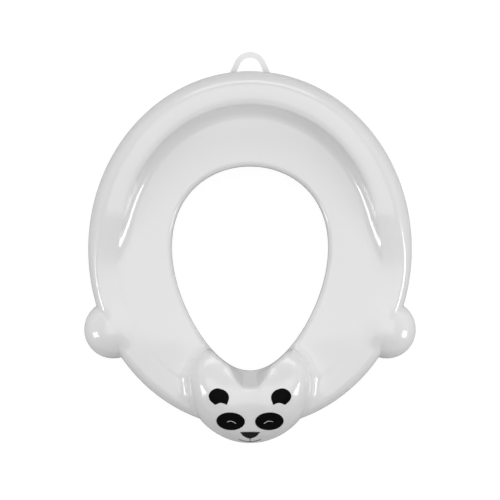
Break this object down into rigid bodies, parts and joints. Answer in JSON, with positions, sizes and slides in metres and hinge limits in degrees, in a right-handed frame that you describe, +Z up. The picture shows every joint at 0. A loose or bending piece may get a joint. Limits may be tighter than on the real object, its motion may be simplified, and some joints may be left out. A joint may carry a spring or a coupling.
{
  "type": "toilet seat reducer",
  "caption": "Ring-shaped child toilet seat with a raised rim, round paws, an animal-head splash guard and a folding hanging loop.",
  "frame": {"origin": "centre of the footprint at the level of the tips of the locating tabs", "axes": "+Z up, +Y towards the back with the hanging loop, -Y towards the animal head, +X to the right when seen from above with the back on top, which is the sitting child's left"},
  "size_m": [0.3128, 0.3684, 0.0918],
  "materials": {
    "shell_white": "high-gloss white moulded plastic",
    "frame_white": "fine-textured white moulded plastic",
    "loop_clear_white": "natural, slightly milky plastic",
    "soft_grey": "soft antislip rubber, matte",
    "screw_steel": "plain steel",
    "print_black": "glossy black print",
    "print_nose": "glossy dark grey print",
    "print_mouth": "grey print line"
  },
  "bodies": {
    "seat": {"antislip_pad_back_left": "soft_grey", "antislip_pad_back_right": "soft_grey", "antislip_pad_front_left": "soft_grey", "antislip_pad_front_right": "soft_grey", "base_frame": "frame_white", "face_ears": "print_black", "face_eye_patches": "print_black", "face_mouth": "print_mouth", "face_nose": "print_nose", "screws": "screw_steel", "seat_shell": "shell_white", "tab_sleeve_back_left": "soft_grey", "tab_sleeve_back_right": "soft_grey", "tab_sleeve_front_left": "soft_grey", "tab_sleeve_front_right": "soft_grey"},
    "loop": {"hanging_loop": "loop_clear_white"}
  },
  "joints": [
    {"name": "loop_hinge", "type": "hinge", "parent": "seat", "child": "loop", "pos_m": [0, 0.15005, 0.02265], "axis": [-1, 0, 0], "range_deg": [0, 180]}
  ]
}
